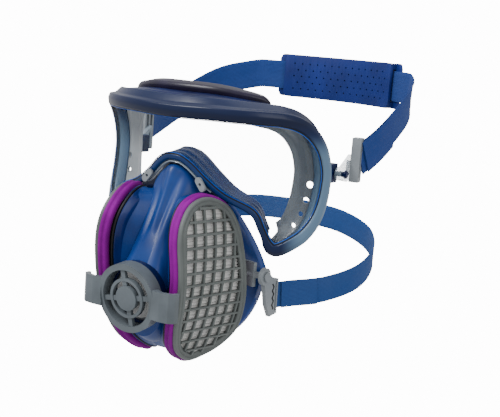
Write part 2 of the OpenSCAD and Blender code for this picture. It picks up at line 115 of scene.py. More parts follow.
def moulded(name, dark, light, rough=0.35, grain=1500.0, depth=0.00002, coat=0.0,
            spread=0.08, gloss=0.25):
    """Moulded plastic, silicone or elastomer with slight mottling and a fine grain."""
    made, tree, shader, where = start_material(name)
    broad = roughen(tree, shader, where, rough, spread, grain, depth)
    colour = ramp(tree, broad.outputs["Fac"], [(0.3, linear(dark)), (0.7, linear(light))])
    tree.links.new(colour, shader.inputs["Base Color"])
    shader.inputs["Specular IOR Level"].default_value = gloss
    shader.inputs["Coat Weight"].default_value = 0.4 * coat
    shader.inputs["Coat Roughness"].default_value = 0.12
    return made


def graded(name, axis, low, high, stops, rough=0.3, coat=0.3, subsurface=0.1, sides=None):
    """Elastomer whose colour runs along one axis, as light shines through its thin places."""
    made, tree, shader, where = start_material(name)
    broad = roughen(tree, shader, where, rough, 0.07, 1200.0, 0.000012)
    parts = node(tree, "ShaderNodeSeparateXYZ")
    tree.links.new(where.outputs["Object"], parts.inputs[0])
    place = node(tree, "ShaderNodeMapRange")
    place.inputs["From Min"].default_value = low
    place.inputs["From Max"].default_value = high
    tree.links.new(parts.outputs[axis], place.inputs["Value"])
    base = ramp(tree, place.outputs["Result"], [(p, linear(c)) for p, c in stops])
    if sides:
        width = node(tree, "ShaderNodeMath", operation="ABSOLUTE")
        tree.links.new(parts.outputs[0], width.inputs[0])
        thin = node(tree, "ShaderNodeMapRange", interpolation_type="SMOOTHSTEP")
        thin.inputs["From Min"].default_value = 0.078
        thin.inputs["From Max"].default_value = 0.092
        tree.links.new(width.outputs[0], thin.inputs["Value"])
        below = node(tree, "ShaderNodeMapRange", interpolation_type="SMOOTHSTEP")
        below.inputs["From Min"].default_value = 0.022
        below.inputs["From Max"].default_value = 0.004
        tree.links.new(parts.outputs[2], below.inputs["Value"])
        amount = node(tree, "ShaderNodeMath", operation="MULTIPLY")
        tree.links.new(thin.outputs["Result"], amount.inputs[0])
        tree.links.new(below.outputs["Result"], amount.inputs[1])
        base = mix_colour(tree, amount.outputs[0], base, linear(sides))
    darker = node(tree, "ShaderNodeHueSaturation")
    darker.inputs["Value"].default_value = 0.82
    tree.links.new(base, darker.inputs["Color"])
    colour = mix_colour(tree, broad.outputs["Fac"], darker.outputs["Color"], base)
    tree.links.new(colour, shader.inputs["Base Color"])
    shader.inputs["Specular IOR Level"].default_value = 0.2
    shader.inputs["Coat Weight"].default_value = 0.4 * coat
    shader.inputs["Coat Roughness"].default_value = 0.15
    shader.inputs["Subsurface Weight"].default_value = subsurface
    shader.inputs["Subsurface Radius"].default_value = (0.003, 0.004, 0.006)
    return made


def woven(name, dark, light, rib=1.15, weft=0.8):
    """Webbing: ribs along its length and weft across it, in millimetres of the UV map."""
    made, tree, shader, where = start_material(name)
    parts = node(tree, "ShaderNodeSeparateXYZ")
    tree.links.new(where.outputs["UV"], parts.inputs[0])
    waves = []
    for axis, period, shift in ((1, rib, 0.0), (0, weft, 0.0)):
        turn = node(tree, "ShaderNodeMath", operation="MULTIPLY_ADD")
        turn.inputs[1].default_value = 2 * math.pi / period
        turn.inputs[2].default_value = shift
        tree.links.new(parts.outputs[axis], turn.inputs[0])
        wave = node(tree, "ShaderNodeMath", operation="SINE")
        tree.links.new(turn.outputs[0], wave.inputs[0])
        waves.append(wave.outputs[0])
    cross = node(tree, "ShaderNodeMath", operation="MULTIPLY")
    tree.links.new(waves[0], cross.inputs[0])
    tree.links.new(waves[1], cross.inputs[1])
    both = node(tree, "ShaderNodeMath", operation="MULTIPLY_ADD")
    both.inputs[1].default_value = 0.7
    tree.links.new(waves[0], both.inputs[0])
    tree.links.new(cross.outputs[0], both.inputs[2])
    level = node(tree, "ShaderNodeMapRange")
    level.inputs["From Min"].default_value = -1.7
    level.inputs["From Max"].default_value = 1.7
    tree.links.new(both.outputs[0], level.inputs["Value"])
    fuzz = node(tree, "ShaderNodeTexNoise", in_Scale=900.0, in_Detail=5.0)
    tree.links.new(where.outputs["Object"], fuzz.inputs["Vector"])
    faded = node(tree, "ShaderNodeTexNoise", in_Scale=25.0, in_Detail=3.0)
    tree.links.new(where.outputs["Object"], faded.inputs["Vector"])
    height = node(tree, "ShaderNodeMath", operation="MULTIPLY_ADD")
    height.inputs[1].default_value = 0.35
    tree.links.new(fuzz.outputs["Fac"], height.inputs[0])
    tree.links.new(level.outputs["Result"], height.inputs[2])
    yarn = ramp(tree, height.outputs[0], [(0.2, linear(dark)), (0.85, linear(light))])
    worn = node(tree, "ShaderNodeHueSaturation")
    worn.inputs["Saturation"].default_value = 0.85
    worn.inputs["Value"].default_value = 1.12
    tree.links.new(yarn, worn.inputs["Color"])
    colour = mix_colour(tree, faded.outputs["Fac"], yarn, worn.outputs["Color"])
    tree.links.new(colour, shader.inputs["Base Color"])
    bump = node(tree, "ShaderNodeBump", in_Strength=0.7, in_Distance=0.00025)
    tree.links.new(height.outputs[0], bump.inputs["Height"])
    tree.links.new(bump.outputs["Normal"], shader.inputs["Normal"])
    shader.inputs["Roughness"].default_value = 0.85
    shader.inputs["Specular IOR Level"].default_value = 0.15
    shader.inputs["Sheen Weight"].default_value = 0.06
    shader.inputs["Sheen Roughness"].default_value = 0.4
    return made


def clear_plastic(name, tint, alpha, rough=0.04):
    """Clear moulded plastic, seen through, with faint scratches in its gloss."""
    made, tree, shader, where = start_material(name)
    roughen(tree, shader, where, rough, 0.02, 700.0, 0.00001, 15.0)
    shader.inputs["Base Color"].default_value = linear(tint)
    shader.inputs["Alpha"].default_value = alpha
    shader.inputs["IOR"].default_value = 1.5
    shader.inputs["Specular IOR Level"].default_value = 0.5
    shader.inputs["Coat Weight"].default_value = 0.3
    shader.inputs["Coat Roughness"].default_value = 0.03
    return made


NAVY = graded("frame_navy", 2, -0.075, 0.045,
              [(0.0, "030E34"), (0.25, "0A2858"), (0.5, "143B74"), (0.74, "0D2A5E"), (0.86, "06173C"),
               (1.0, "09214F")], 0.3, 0.2, 0.0, "6F8DAA")
BROW = moulded("brow_navy", "050F34", "0B2058", 0.35, coat=0.2, gloss=0.15)
# The charcoal's purple-brown tint is partly painted sheen, standing in for the brownish sheen on the dark
# brow ridge.
CHARCOAL = moulded("charcoal", "100B22", "1E1638", 0.38, coat=0.2)
LENS = clear_plastic("lens_clear", "4A6680", 0.05, 0.03)
# The pale tint and low transparency of the clear moulding are partly its own whitish look and partly
# painted highlight, for the light that the clear nose trim catches.
CLEAR = clear_plastic("clear_moulding", "A4B4C2", 0.62, 0.1)
# Painted light and shade: the skirt's grey runs across it from a painted highlight band near its left end
# to painted shade at its right end.
SKIRT = graded("skirt_grey", 0, -0.095, 0.095,
               [(0.0, "9AA2A8"), (0.12, "C2C7CB"), (0.4, "9AA1A8"), (0.88, "858D95"), (1.0, "4C545D")],
               0.34, 0.3, 0.0)
NOSE_BLUE = moulded("nose_blue", "05204F", "0A3274", 0.38, 1500.0, 0.00001, coat=0.25)
FACE_BLUE = moulded("face_blue", "032F74", "084494", 0.42, coat=0.15)
LIP_BLUE = moulded("lip_blue", "0A3A8C", "1450A6", 0.35, coat=0.2)
COLLAR_BLUE = moulded("collar_blue", "021F5E", "05307F", 0.34, coat=0.3)
HARD_GREY = moulded("grille_grey", "5F6565", "727877", 0.42, 2600.0, 0.00005)
HARNESS_GREY = moulded("harness_grey", "565E64", "6E777E", 0.34, 2400.0, 0.00005, coat=0.25)
PALE = moulded("pale_plastic", "8A9197", "A2A9AE", 0.4, 2400.0, 0.00004)
WHITE = moulded("white_silicone", "EDF0F0", "FFFFFF", 0.4)
MAGENTA = moulded("seal_magenta", "74007C", "A000A6", 0.5, gloss=0.05)
BLACK = moulded("gasket_black", "050506", "0D0D0F", 0.45)
EDGE_BLUE = moulded("lens_edge_blue", "0A3F9A", "1566D0", 0.2, coat=0.5)
MEDIUM = moulded("filter_paper", "F4F4F0", "FFFFFF", 0.9, 900.0, 0.0002, spread=0.04)
PAD_BLUE = moulded("pad_blue", "061F66", "0B2B80", 0.5, 1600.0, 0.00005)
STRAP = woven("strap_webbing", "022260", "074296")
NECK = woven("neck_webbing", "06306F", "10509A", 1.0, 0.8)


# ---------- curves ----------
def closed_curve(knots, steps):
    knots = np.array(knots, float)
    count = len(knots)
    out = []
    for i in range(count):
        a, b, c, d = (knots[(i + k) % count] for k in (-1, 0, 1, 2))
        for s in range(steps):
            out.append(between(a, b, c, d, s / steps))
    return np.array(out)


def between(a, b, c, d, t):
    return 0.5 * (2 * b + (c - a) * t + (2 * a - 5 * b + 4 * c - d) * t * t
                  + (3 * b - a - 3 * c + d) * t * t * t)


def open_curve(knots, steps):
    knots = np.array(knots, float)
    last = len(knots) - 1
    out = []
    for i in range(last):
        a, d = knots[max(i - 1, 0)], knots[min(i + 2, last)]
        for s in range(steps):
            out.append(between(a, knots[i], knots[i + 1], d, s / steps))
    out.append(knots[last])
    return np.array(out)


def unit(v):
    return v / np.linalg.norm(v)


def rounded(profile, radius, steps=3):
    """Profile polygon with its corners rounded."""
    out = []
    count = len(profile)
    for i in range(count):
        p = np.array(profile[i], float)
        before = np.array(profile[i - 1], float) - p
        after = np.array(profile[(i + 1) % count], float) - p
        cut = min(radius, 0.45 * np.linalg.norm(before), 0.45 * np.linalg.norm(after))
        first, last = p + unit(before) * cut, p + unit(after) * cut
        for s in range(steps + 1):
            t = s / steps
            out.append((1 - t) ** 2 * first + 2 * t * (1 - t) * p + t * t * last)
    return out


# ---------- meshes ----------
def finish_mesh(name, bm, material, body, angle=38):
    bmesh.ops.recalc_face_normals(bm, faces=bm.faces)
    data = bpy.data.meshes.new(name)
    bm.to_mesh(data)
    bm.free()
    data.polygons.foreach_set("use_smooth", [True] * len(data.polygons))
    data.set_sharp_from_angle(angle=math.radians(angle))
    data.materials.append(material)
    made = bpy.data.objects.new(name, data)
    bpy.context.scene.collection.objects.link(made)
    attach(made, body)
    return made


def ring_mesh(bm, rings, looped=False, uv_scale=None):
    """Adds a tube made of rings of millimetre points. uv_scale adds a UV map in millimetres."""
    rows = [[bm.verts.new(Vector(p) * MM) for p in ring] for ring in rings]
    count = len(rows[0])
    layer = bm.loops.layers.uv.verify() if uv_scale else None
    along = 0.0
    for i in range(len(rows) if looped else len(rows) - 1):
        first, second = rows[i], rows[(i + 1) % len(rows)]
        step = (first[0].co - second[0].co).length / MM
        for j in range(count):
            k = (j + 1) % count
            face = bm.faces.new((first[j], first[k], second[k], second[j]))
            if layer:
                around = [(along, uv_scale[j]), (along, uv_scale[j + 1]),
                          (along + step, uv_scale[j + 1]), (along + step, uv_scale[j])]
                for loop, place in zip(face.loops, around):
                    loop[layer].uv = place
        along += step
    if not looped:
        bm.faces.new(rows[0])
        bm.faces.new(rows[-1][::-1])


def tube(name, rings, material, body, looped=False, angle=38):
    bm = bmesh.new()
    ring_mesh(bm, rings, looped)
    return finish_mesh(name, bm, material, body, angle)


def cut(piece, cutter):
    """Takes the cutter's solid out of the piece, then removes the cutter."""
    change = piece.modifiers.new("cut", "BOOLEAN")
    change.operation = "DIFFERENCE"
    change.solver = "EXACT"
    change.object = cutter
    bpy.context.view_layer.update()
    done = bpy.data.meshes.new_from_object(piece.evaluated_get(bpy.context.evaluated_depsgraph_get()))
    piece.modifiers.clear()
    piece.data = done
    bpy.data.objects.remove(cutter)
    done.polygons.foreach_set("use_smooth", [True] * len(done.polygons))
    done.set_sharp_from_angle(angle=math.radians(38))


def cylinders(places, radius, length, sides=16):
    """One object of cylinders, each centred at a point in millimetres along a direction."""
    bm = bmesh.new()
    for centre, way in places:
        turn = Vector(way).to_track_quat("Z", "Y").to_matrix().to_4x4()
        bmesh.ops.create_cone(bm, cap_ends=True, segments=sides, radius1=radius * MM,
                              radius2=radius * MM, depth=length * MM,
                              matrix=Matrix.Translation(Vector(centre) * MM) @ turn)
    data = bpy.data.meshes.new("cutter")
    bm.to_mesh(data)
    bm.free()
    made = bpy.data.objects.new("cutter", data)
    bpy.context.scene.collection.objects.link(made)
    return made


def finish_cad(name, material, bevel=0.4):
    """A CAD node whose shape is right: a better material, and softened edges."""
    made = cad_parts[name]
    if made.material_slots:
        for place in made.material_slots:
            place.material = material
    else:
        made.data.materials.append(material)
    if bevel:
        soft = made.modifiers.new("edges", "BEVEL")
        soft.width = bevel * MM
        soft.segments = 2
        soft.limit_method = "ANGLE"
        soft.angle_limit = math.radians(35)
        soft.harden_normals = False
    return made


# ---------- lens surface and its rim ----------
LENS_RADIUS = 100
LENS_TAPER = 0.26
LENS_WALL = 2
FRAME_BAND = 6
RIM_HALF = [
    (0, 28.5), (18, 29.2), (30.4, 29.2), (42, 29.2), (48, 28.7), (54, 26.2), (59.6, 20),
    (64, 9), (65.5, -5), (64.2, -17), (61.5, -29), (57.5, -40), (52, -49.8), (46.5, -56.4),
    (40, -62.4), (37.4, -60), (35.4, -50), (32.4, -37), (21.7, -28.3), (14.2, -18.6),
    (8.4, -9.4), (3.8, -4.7), (0, -3.8)]
RIM_KNOTS = RIM_HALF + [(-a, z) for a, z in RIM_HALF[-2:0:-1]]
STEPS = 8
FINER = STEPS // 2
RIM = closed_curve(RIM_KNOTS, STEPS)
COUNT = len(RIM)


def lens_point(a, z):
    drop = 28 - z
    turn = math.radians(a)
    swell = 1 + (0.05 + 0.0013 * drop) * math.sin(2 * turn) ** 2
    return np.array([LENS_RADIUS * swell * math.sin(turn),
                     65 + 0.08 * drop - (LENS_RADIUS - LENS_TAPER * drop) * swell * math.cos(turn),
                     z])


def lens_out(a, z):
    return unit(np.cross(lens_point(a + 0.5, z) - lens_point(a - 0.5, z),
                         lens_point(a, z + 1) - lens_point(a, z - 1)))


RIM_POINTS = [lens_point(a, z) for a, z in RIM]
RIM_NORMALS = [lens_out(a, z) for a, z in RIM]
RIM_AWAY = [unit(np.cross(RIM_NORMALS[i], unit(RIM_POINTS[(i + 1) % COUNT] - RIM_POINTS[i - 1])))
            for i in range(COUNT)]


def rim_section(i, profile):
    i %= COUNT
    return [RIM_POINTS[i] + q[0] * RIM_AWAY[i] + q[1] * RIM_NORMALS[i] for q in profile]


def limit(x):
    return min(1.0, max(0.0, x))


def arch_part(i):
    a, z = RIM[i % COUNT]
    return 0 if z > 10 else limit((z + 66) / 10) * limit((40 - abs(a)) / 4)


def flare(i):
    z = RIM[i % COUNT][1]
    return 0 if z < -40 else 4 * limit((z + 40) / 45) * (1 - arch_part(i))


def frame_profile(i):
    k, wide = arch_part(i), flare(i)
    w, deep, lip = FRAME_BAND * (1 - 0.55 * k), 10 - 4 * k, 3 - k
    return rounded([
        [-lip, -4.2], [-1.6, -deep], [w - 1.2 + wide, -deep], [w + 0.6 + wide, -deep + 2],
        [w + 0.4, -3], [w, 1], [w * 0.4, 2.6 - k], [-lip + 0.6, 2 - 0.8 * k], [-lip, 0.15],
        [0.5, 0.15], [0.5, -LENS_WALL - 0.15], [-lip, -LENS_WALL - 0.15]], 0.9)


goggle = tube("goggle_frame_shell", [rim_section(i, frame_profile(i)) for i in range(COUNT)],
              NAVY, "mask", looped=True)
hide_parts("goggle_frame")


def brow_step(name, reach, near, far, rise, material, node_name):
    rings = []
    span = reach * FINER
    for i in range(-span, span + 1):
        t = max(0.3, math.sqrt(max(0, 1 - (i / (span + 0.4 * FINER)) ** 10)))
        top = rise * t
        profile = [[1.9, -far], [top - 1.5, -far], [top, -far + 1.5], [top, -near - 2],
                   [top - 0.7, -near - 1], [top - 2, -near], [1.9, -near]]
        rings.append(rim_section(i, rounded(profile, 0.8)))
    made = tube(name, rings, material, "mask")
    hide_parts(node_name)


brow_step("brow_lip_shell", 9, 10.1, 19.9, 9.4, BROW, "brow_lip")
brow_step("brow_ridge_shell", 7, 20, 30, 13.8, CHARCOAL, "brow_ridge")

# Lens: a thick sheet ruled between its upper and lower edge
UPPER = RIM[0:8 * STEPS + 1]
LOWER = RIM[22 * STEPS:8 * STEPS - 1:-1]
LENS_REACH = 65
lens_rings = []
for k in range(181):
    angle = -LENS_REACH + 2 * LENS_REACH * k / 180
    top = np.interp(abs(angle), UPPER[:, 0], UPPER[:, 1]) - 0.1
    low = np.interp(abs(angle), LOWER[:, 0], LOWER[:, 1]) + 0.1
    front = [lens_point(angle, z) for z in np.linspace(top, low, 7)]
    rear = [lens_point(angle, z) - LENS_WALL * lens_out(angle, z) for z in np.linspace(low, top, 7)]
    lens_rings.append(front + rear)
lens = tube("lens_sheet", lens_rings, LENS, "mask")
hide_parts("lens")

# Painted shade: a black strip stands for the shaded gap round the lens. Beside it, a bright moulded edge
# round the lens
for name, profile, material in (
        ("lens_gap_shade_line", [[-3.6, 0.12], [-2.4, 0.12], [-2.4, 0.9], [-3.3, 0.6]], BLACK),
        ("lens_edge_line", [[-4.2, 0.12], [-3.65, 0.12], [-3.65, 0.45], [-4.1, 0.4]], EDGE_BLUE)):
    line = tube(name, [rim_section(i, [[q[0] + arch_part(i), q[1]] for q in profile])
                       for i in range(COUNT)], material, "mask", looped=True)

# Soft skirt between the lens frame and the face, with its vent holes
SKIRT_END = 15


def skirt_profile(i):
    part = abs(RIM[i % COUNT][0]) / 65
    gap, reach = 34 - 11 * part, 14 - 6 * part
    return rounded([[-2.6, -0.6 * gap - 2], [-0.54 * reach, -0.9 * gap - 1.6], [-reach, -gap - 1.4],
                    [-reach, -gap], [-0.6 * reach, -0.9 * gap], [-4.2, -0.6 * gap], [-1.4, -10.1],
                    [1.4, -10.1]], 1.2)


skirt = tube("face_skirt_shell",
             [rim_section(i, skirt_profile(i)) for i in range(-SKIRT_END * STEPS, SKIRT_END * STEPS + 1)],
             SKIRT, "mask")
for k in range(4):
    vents = []
    for side in (-1, 1):
        turn = math.radians(side * 18)
        knot = (9 + k) * STEPS
        centre = rim_section(knot if side > 0 else COUNT - knot, [[-3, -11.5 - k]])[0]
        vents.append((centre, (math.sin(turn), -math.cos(turn), 0)))
    cut(skirt, cylinders(vents, 2.6 - 0.3 * k, 24))
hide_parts("face_skirt")

# Nose cover: a folded bellows from the arch back to the bridge of the nose
NOSE_LINE = open_curve([[0, -6.2], [0.4, -11], [1, -17.3], [3, -22.5], [7.6, -28.4]], 7)


def nose_profile():
    out, back = [], []
    for n, p in enumerate(NOSE_LINE):
        before, after = NOSE_LINE[max(n - 1, 0)], NOSE_LINE[min(n + 1, len(NOSE_LINE) - 1)]
        way = unit(after - before)
        side = np.array([-way[1], way[0]])
        t = n / (len(NOSE_LINE) - 1)
        fold = 0.55 * math.sin(t * 6 * math.pi) * math.sin(t * math.pi)
        out.append(p + side * (0.85 + fold))
        back.append(p + side * (-0.85 + fold))
    return out + back[::-1]


NOSE_SECTION = nose_profile()
nose_cover = tube("nose_bellows",
                  [rim_section(i, NOSE_SECTION) for i in range(31 * FINER, COUNT - 31 * FINER + 1)],
                  NOSE_BLUE, "mask")
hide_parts("nose_cover")
trim = tube("nose_arch_trim",
            [rim_section(i, rounded([[3.2, -5], [5, -5], [5, 0.6], [3.8, 1.8], [3.2, 0.9]], 0.5))
             for i in range(37 * FINER, COUNT - 37 * FINER + 1)],
            CLEAR, "mask")
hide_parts("nose_trim")
for side in ("left", "right"):
    finish_cad("nose_clip_" + side, PALE, 0.35)

# ---------- half mask ----------
RING_STEPS = 144


def mask_ring(r, w=0.0):
    a, up, down = r[0] - w, r[1] - w, r[2] + w
    y_top, y_side, y_low, mid, pinch = r[3], r[4], r[5], r[6], r[7]
    out = []
    for k in range(RING_STEPS):
        t = 2 * math.pi * k / RING_STEPS
        s, c = math.sin(t), math.cos(t)
        out.append(np.array([
            a * c * (1 - pinch * s if s > 0 else 1),
            (y_side + (y_top - y_side) * s * s if s > 0 else y_side + (y_low - y_side) * s * s) + w,
            mid + (up - mid) * s if s > 0 else mid + (mid - down) * s]))
    return out


VALVE_AT = np.array([0, -69.5, -101.6])
VALVE_TILT = math.radians(96)


def valve_ring(r, z):
    out = []
    for k in range(RING_STEPS):
        t = 2 * math.pi * k / RING_STEPS
        u = r * math.sin(t)
        out.append(np.array([
            r * math.cos(t),
            VALVE_AT[1] + u * math.cos(VALVE_TILT) - z * math.sin(VALVE_TILT),
            VALVE_AT[2] + u * math.sin(VALVE_TILT) + z * math.cos(VALVE_TILT)]))
    return out


MASK_SHAPE = np.array([
    [54, -12, -150, -4, 20, 16, -84, 0.62],
    [48, -10, -149, -12, 14, 8, -84, 0.42],
    [36, -10, -146, -21, 2, -8, -86, 0.12],
    [30, -13, -143, -26, -18, -24, -90, 0.08],
    [24, -34, -139, -34, -40, -40, -94, 0.3],
    [21, -58, -133, -46, -51, -50, -98, 0.25]])
MASK_ROWS = open_curve(MASK_SHAPE, 6)


def folded(ring, along):
    """Raises two soft folds down the front of the mask, either side of its middle ridge."""
    out = []
    for k, p in enumerate(ring):
        t = 360 * k / RING_STEPS
        lift = 0.0
        for centre, height, width in ((90, 1.4, 9), (58, 1.1, 8), (122, 1.1, 8), (74, -0.8, 6),
                                      (106, -0.8, 6)):
            lift += height * math.exp(-((t - centre) / width) ** 2)
        fade = limit((along - 0.35) / 0.25) * limit((1.02 - along) / 0.15)
        away = np.array([p[0] * 0.03, -1, 0.35])
        out.append(p + lift * fade * unit(away))
    return out


last_row = len(MASK_ROWS) - 1
outer = [folded(mask_ring(r), n / last_row) for n, r in enumerate(MASK_ROWS)]
inner = [mask_ring(r, 2.2) for r in MASK_ROWS[::-1]]
facepiece = tube("facepiece_shell", outer + [valve_ring(21.5, -14), valve_ring(19.4, -14)] + inner,
                 FACE_BLUE, "mask", looped=True)


# ---------- filter cartridges ----------
FILTER_AT = np.array([39.0, -61.0, -75.0])
TURN = math.radians(75)
BEND = 145.0
GRILLE_WALL = 3
SEAL_END = 11
PORT = (33, -12)
OUTLINE = closed_curve([
    (28.5, 47.5), (45, 41.4), (54, 27.7), (59, 8.7), (63.7, -12), (67.3, -34.5), (67, -55),
    (58, -67.4), (46, -74.3), (31.5, -76.8), (14.4, -65), (6.3, -48), (3.6, -31), (1.4, -8.5),
    (-0.9, 16), (2.4, 31.4), (12.6, 43.3)], 8)
EDGE_WAYS = []
for i in range(len(OUTLINE)):
    d = unit(OUTLINE[(i + 1) % len(OUTLINE)] - OUTLINE[i - 1])
    EDGE_WAYS.append(np.array([-d[1], d[0]]))


def bent(v, depth):
    return math.sqrt((BEND + depth) ** 2 - v * v) - BEND


def at_filter(side, u, v, z):
    """Local cartridge place to the row frame: u back along the face, v up, z out of the grille."""
    x = FILTER_AT[0] + u * math.cos(TURN) + z * math.sin(TURN)
    y = FILTER_AT[1] + u * math.sin(TURN) - z * math.cos(TURN)
    return np.array([side * x, y, FILTER_AT[2] + v])


def edge_band(side, profile):
    return [[at_filter(side, q[0] + p[0] * o[0], q[1] + p[0] * o[1], bent(q[1], p[1])) for p in profile]
            for q, o in zip(OUTLINE, EDGE_WAYS)]


def inset(w):
    return np.array([q - w * o for q, o in zip(OUTLINE, EDGE_WAYS)])


def spans(shape, axis, value):
    """Where a straight line at a fixed value of one axis crosses the outline, lowest and highest."""
    hits = []
    for p, q in zip(shape, np.roll(shape, -1, axis=0)):
        if (p[axis] - value) * (q[axis] - value) < 0:
            t = (value - p[axis]) / (q[axis] - p[axis])
            hits.append(p[1 - axis] + t * (q[1 - axis] - p[1 - axis]))
    return (min(hits), max(hits)) if len(hits) > 1 else None


CELL = 8.9
BAR = 1.7


def grille(side, name):
    bm = bmesh.new()
    rim = rounded([[0, -GRILLE_WALL], [0, -0.9], [-0.9, 0], [-2.2, 0], [-2.6, -0.45], [-3.2, -0.45],
                   [-3.6, 0], [-5.6, 0], [-6.1, -0.5], [-6.1, -GRILLE_WALL]], 0.35, 2)
    ring_mesh(bm, edge_band(side, rim), looped=True)
    frame_line = inset(5.4)
    face = rounded([[-BAR / 2, 0], [BAR / 2, 0], [BAR / 2, -2.4], [-BAR / 2, -2.4]], 0.35, 2)
    for i in range(-4, 5):
        u = 32 + i * CELL
        ends = spans(frame_line, 0, u)
        if ends and ends[1] - ends[0] > 4:
            ring_mesh(bm, [[at_filter(side, u + p[0], v, bent(v, p[1] - 0.35)) for p in face]
                           for v in np.linspace(ends[0], ends[1], 26)])
    for j in range(-8, 8):
        v = -13 + j * CELL
        ends = spans(frame_line, 1, v)
        if ends and ends[1] - ends[0] > 4:
            ring_mesh(bm, [[at_filter(side, u, v + p[0], bent(v + p[0], p[1] - 0.1)) for p in face]
                           for u in np.linspace(ends[0], ends[1], 8)])
    made = finish_mesh(name + "_lattice", bm, HARD_GREY, name.replace("grille", "cartridge"))
    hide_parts(name)


def medium(side, name):
    """Pleated filter sheet: ridges run across the cartridge."""
    bm = bmesh.new()
    shape = inset(5.0)
    low, high = shape[:, 1].min() + 0.6, shape[:, 1].max() - 0.6
    pleats = 46
    rows = []
    for n in range(pleats * 2 + 1):
        v = low + (high - low) * n / (pleats * 2)
        ends = spans(shape, 1, v)
        depth = -3.6 if n % 2 else -5.2
        top = [bm.verts.new(Vector(at_filter(side, u, v, bent(v, depth))) * MM)
               for u in np.linspace(ends[0], ends[1], 22)]
        under = [bm.verts.new(Vector(at_filter(side, u, v, bent(v, -10.4))) * MM)
                 for u in np.linspace(ends[1], ends[0], 22)]
        rows.append(top + under)
    for first, second in zip(rows, rows[1:]):
        for j in range(len(first)):
            k = (j + 1) % len(first)
            bm.faces.new((first[j], first[k], second[k], second[j]))
    bm.faces.new(rows[0])
    bm.faces.new(rows[-1][::-1])
    made = finish_mesh(name + "_pleats", bm, MEDIUM, name.replace("filter_medium", "cartridge"), 70)
    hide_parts(name)


def collar_plate(side, name):
    """Bent wall that closes the collar behind the cartridge, round the inhalation port."""
    bm = bmesh.new()
    shape = inset(9.5)
    rings = []
    for v in np.linspace(shape[:, 1].min() + 0.5, shape[:, 1].max() - 0.5, 40):
        ends = spans(shape, 1, v)
        across = np.linspace(ends[0], ends[1], 16)
        rings.append([at_filter(side, u, v, bent(v, -18.6)) for u in across]
                     + [at_filter(side, u, v, bent(v, -20.4)) for u in across[::-1]])
    ring_mesh(bm, rings)
    made = finish_mesh(name, bm, FACE_BLUE, "mask")
    way = at_filter(side, 0, 0, 1) - at_filter(side, 0, 0, 0)
    cut(made, cylinders([(at_filter(side, PORT[0], PORT[1], -20), way)], 17.5, 12, 48))
    return made


SEAL = rounded([[-3, -SEAL_END], [0.5, -SEAL_END], [1.7, -SEAL_END + 1.2], [1.7, -SEAL_END + 2.6],
                [0.6, -SEAL_END + 4], [1.7, -SEAL_END + 5.4], [1.7, -SEAL_END + 6.8],
                [0.6, -GRILLE_WALL - 0.05], [-3, -GRILLE_WALL - 0.05]], 1.0, 4)
GASKET = rounded([[-5, -SEAL_END - 3.4], [-1, -SEAL_END - 3.4], [-0.6, -SEAL_END - 2.5],
                  [-1, -SEAL_END - 1.65], [-5, -SEAL_END - 1.65]], 0.5)
COLLAR = rounded([[-14, -22], [-6, -19.5], [-1.2, -SEAL_END - 3.5], [-4.5, -SEAL_END - 3.5],
                  [-8.5, -17.6], [-14, -19.6]], 1.5, 4)

ports = []
def mask_skin():
    """The outside of the half mask as a search tree, in millimetres."""
    points = [tuple(p) for ring in outer for p in ring]
    faces = [(n * RING_STEPS + k, n * RING_STEPS + (k + 1) % RING_STEPS,
              (n + 1) * RING_STEPS + (k + 1) % RING_STEPS, (n + 1) * RING_STEPS + k)
             for n in range(len(outer) - 1) for k in range(RING_STEPS)]
    return BVHTree.FromPolygons(points, faces)


# Web of the half mask: how far inside the cartridge's edge it starts, its bulge in millimetres, and
# the stretch of the outline it follows, from the bottom round the front edge to the top
WEB_INSET = 2.0
WEB_BULGE = 1.2
WEB_RUN = (64, 141)


def cheek_wall(side, name):
    """Web of the half mask that runs from its nose and chin out to the edge of one cartridge."""
    skin = mask_skin()
    edge = inset(WEB_INSET)
    order = [k % len(edge) for k in range(*WEB_RUN)]
    starts, ends = [], []
    for k in order:
        start = at_filter(side, edge[k][0], edge[k][1], bent(edge[k][1], -SEAL_END - 1.6))
        aim = np.array([0, np.interp(start[2], [-100, -30], [-34, -20]), min(-24, max(-132, start[2]))])
        way = unit(aim - start)
        hit = skin.ray_cast(Vector(start), Vector(way), 70)[0]
        web = np.array(hit) + way * 2.5 if hit else start + way * 22
        chin = np.array([0, 0.6 * start[1] - 15, start[2] + 3])
        under_chin = limit((-112 - start[2]) / 14)
        starts.append(start)
        ends.append(web * (1 - under_chin) + chin * under_chin)
    rings = []
    for n, k in enumerate(order):
        start = starts[n]
        reach = np.mean(ends[max(0, n - 6):n + 7], axis=0)
        nearby = edge[(k + 1) % len(edge)] - edge[k - 1]
        along = at_filter(side, nearby[0], nearby[1], 0) - at_filter(side, 0, 0, 0)
        face = unit(np.cross(along, reach - start))
        middle = (start + reach) / 2 - face * side * WEB_BULGE
        rings.append([start + face, middle + face, reach + face, reach - face, middle - face, start - face])
    made = tube(name, rings, FACE_BLUE, "mask")


for side, word in ((-1, "left"), (1, "right")):
    cheek_wall(side, "cheek_wall_" + word)
    grille(side, "grille_" + word)
    medium(side, "filter_medium_" + word)
    cartridge = "cartridge_" + word
    seal = tube("filter_seal_band_" + word, edge_band(side, SEAL), MAGENTA, cartridge, looped=True)
    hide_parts("filter_seal_" + word)
    finish_cad("filter_case_" + word, BLACK, 0)
    gasket = tube("port_gasket_ring_" + word, edge_band(side, GASKET), BLACK, "mask", looped=True)
    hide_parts("port_gasket_" + word)
    collar = tube("port_collar_shell_" + word, edge_band(side, COLLAR), COLLAR_BLUE, "mask", looped=True)
    plate = collar_plate(side, "port_collar_plate_" + word)
    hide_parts("port_collar_" + word)
    finish_cad("inhale_seat_" + word, PALE, 0.3)
    finish_cad("inhale_flap_" + word, WHITE, 0.3)
    middle = at_filter(side, PORT[0], PORT[1], -27)
    ports.append((middle, at_filter(side, 0, 0, 1) - at_filter(side, 0, 0, 0)))
cut(facepiece, cylinders(ports, 17.5, 34, 48))
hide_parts("facepiece")

